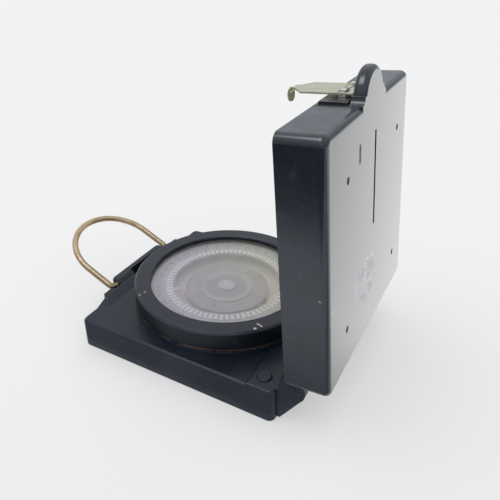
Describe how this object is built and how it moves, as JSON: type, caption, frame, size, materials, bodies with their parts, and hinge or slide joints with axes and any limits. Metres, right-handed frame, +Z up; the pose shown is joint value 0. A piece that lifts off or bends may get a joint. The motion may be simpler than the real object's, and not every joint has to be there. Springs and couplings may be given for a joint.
{
  "type": "geology compass",
  "caption": "Pocket surveying compass with a turning bezel, floating card, clinometer, hinged mirror lid with sight slot, spring catch and wire bail.",
  "frame": {"origin": "on the dial axis, at the underside of the base", "axes": "+X from the bail end to the lid hinge, +Y across, +Z up out of the dial; the lid hinge line is parallel to Y"},
  "size_m": [0.0982, 0.06, 0.0808],
  "materials": {
    "black_enamel": "glossy",
    "satin_enamel": "satin",
    "brass": "worn satin",
    "nickel": "worn satin",
    "steel": "satin",
    "silvered": "matt silvered",
    "glass": "polished",
    "mirror_glass": "polished",
    "rubber": "matt",
    "white_paint": "satin"
  },
  "bodies": {
    "base": {"base_case": "satin_enamel", "bottom_cover": "satin_enamel", "bottom_cover_screws": "steel", "bezel_seat_ring": "satin_enamel", "seat_ring_screws": "steel", "bail_block": "satin_enamel", "hinge_pin": "brass", "hinge_washers": "brass", "pivot_bridge": "brass", "bridge_screws": "steel", "pivot_post": "steel", "dial_plate": "silvered", "bezel_wave_spring": "steel", "lever_bracket": "brass", "lever_pin": "steel", "plunger_spring": "steel"},
    "bezel": {"bezel_ring": "satin_enamel", "bezel_index_marks": "white_paint", "dial_glass": "glass", "glass_gasket": "rubber", "glass_spacer_ring": "satin_enamel", "graduated_ring": "silvered", "ring_carrier": "brass", "snap_ring": "steel", "index_pointer": "brass"},
    "card": {"card_disc": "silvered", "hub_disc": "silvered", "jewel_cap": "silvered", "card_magnets": "steel", "card_rivets": "steel"},
    "pendulum": {"clinometer_pendulum": "brass"},
    "lid": {"lid_shell": "black_enamel", "mirror": "mirror_glass", "mirror_backing": "rubber", "mirror_screws": "steel", "mirror_nuts": "brass", "latch_bracket": "nickel", "latch_pin": "nickel", "latch_springs": "steel", "ear_rivets": "nickel"},
    "latch": {"latch_leaf": "nickel"},
    "bail": {"bail_wire": "brass"},
    "plunger": {"lock_plunger": "satin_enamel"},
    "lever": {"lift_lever": "brass"},
    "collar": {"lift_collar": "brass"}
  },
  "joints": [
    {"name": "lid_hinge", "type": "hinge", "parent": "base", "child": "lid", "pos_m": [0.03318, 0, 0.01064], "axis": [0, 1, 0], "range_deg": [-86, 94]},
    {"name": "catch_rock", "type": "hinge", "parent": "lid", "child": "latch", "pos_m": [0.03255, 0, 0.075], "axis": [0, 1, 0], "range_deg": [0, 8], "stiffness_Nm_per_rad": 0.02, "springref_deg": -5.73},
    {"name": "bail_swing", "type": "hinge", "parent": "base", "child": "bail", "pos_m": [-0.0325, 0, 0.0092], "axis": [0, 1, 0], "range_deg": [-43, 70]},
    {"name": "bezel_turn", "type": "hinge", "parent": "base", "child": "bezel", "pos_m": [0, 0, 0.0103], "axis": [0, 0, 1], "continuous": true},
    {"name": "card_spin", "type": "hinge", "parent": "base", "child": "card", "pos_m": [0, 0, 0.0117], "axis": [0, 0, 1], "continuous": true},
    {"name": "pendulum_swing", "type": "hinge", "parent": "base", "child": "pendulum", "pos_m": [0, 0, 0.0094], "axis": [0, 0, 1], "continuous": true},
    {"name": "plunger_press", "type": "slide", "parent": "base", "child": "plunger", "axis": [0, 0, 1], "range_m": [-0.0008, 0], "stiffness_N_per_m": 300, "springref_m": 0.0006, "deforming": ["plunger_spring"]},
    {"name": "lever_rock", "type": "hinge", "parent": "base", "child": "lever", "pos_m": [0.0084, -0.00857, 0.0045], "axis": [0.7145, 0.6997, 0], "range_deg": [0, 1.95]},
    {"name": "collar_lift", "type": "slide", "parent": "base", "child": "collar", "axis": [0, 0, 1], "range_m": [0, 0.0004]}
  ],
  "couplings": [
    {"joint": "lever_rock", "follows": "plunger_press", "rad_per_m": -41.58},
    {"joint": "collar_lift", "follows": "plunger_press", "ratio": -0.49896}
  ]
}
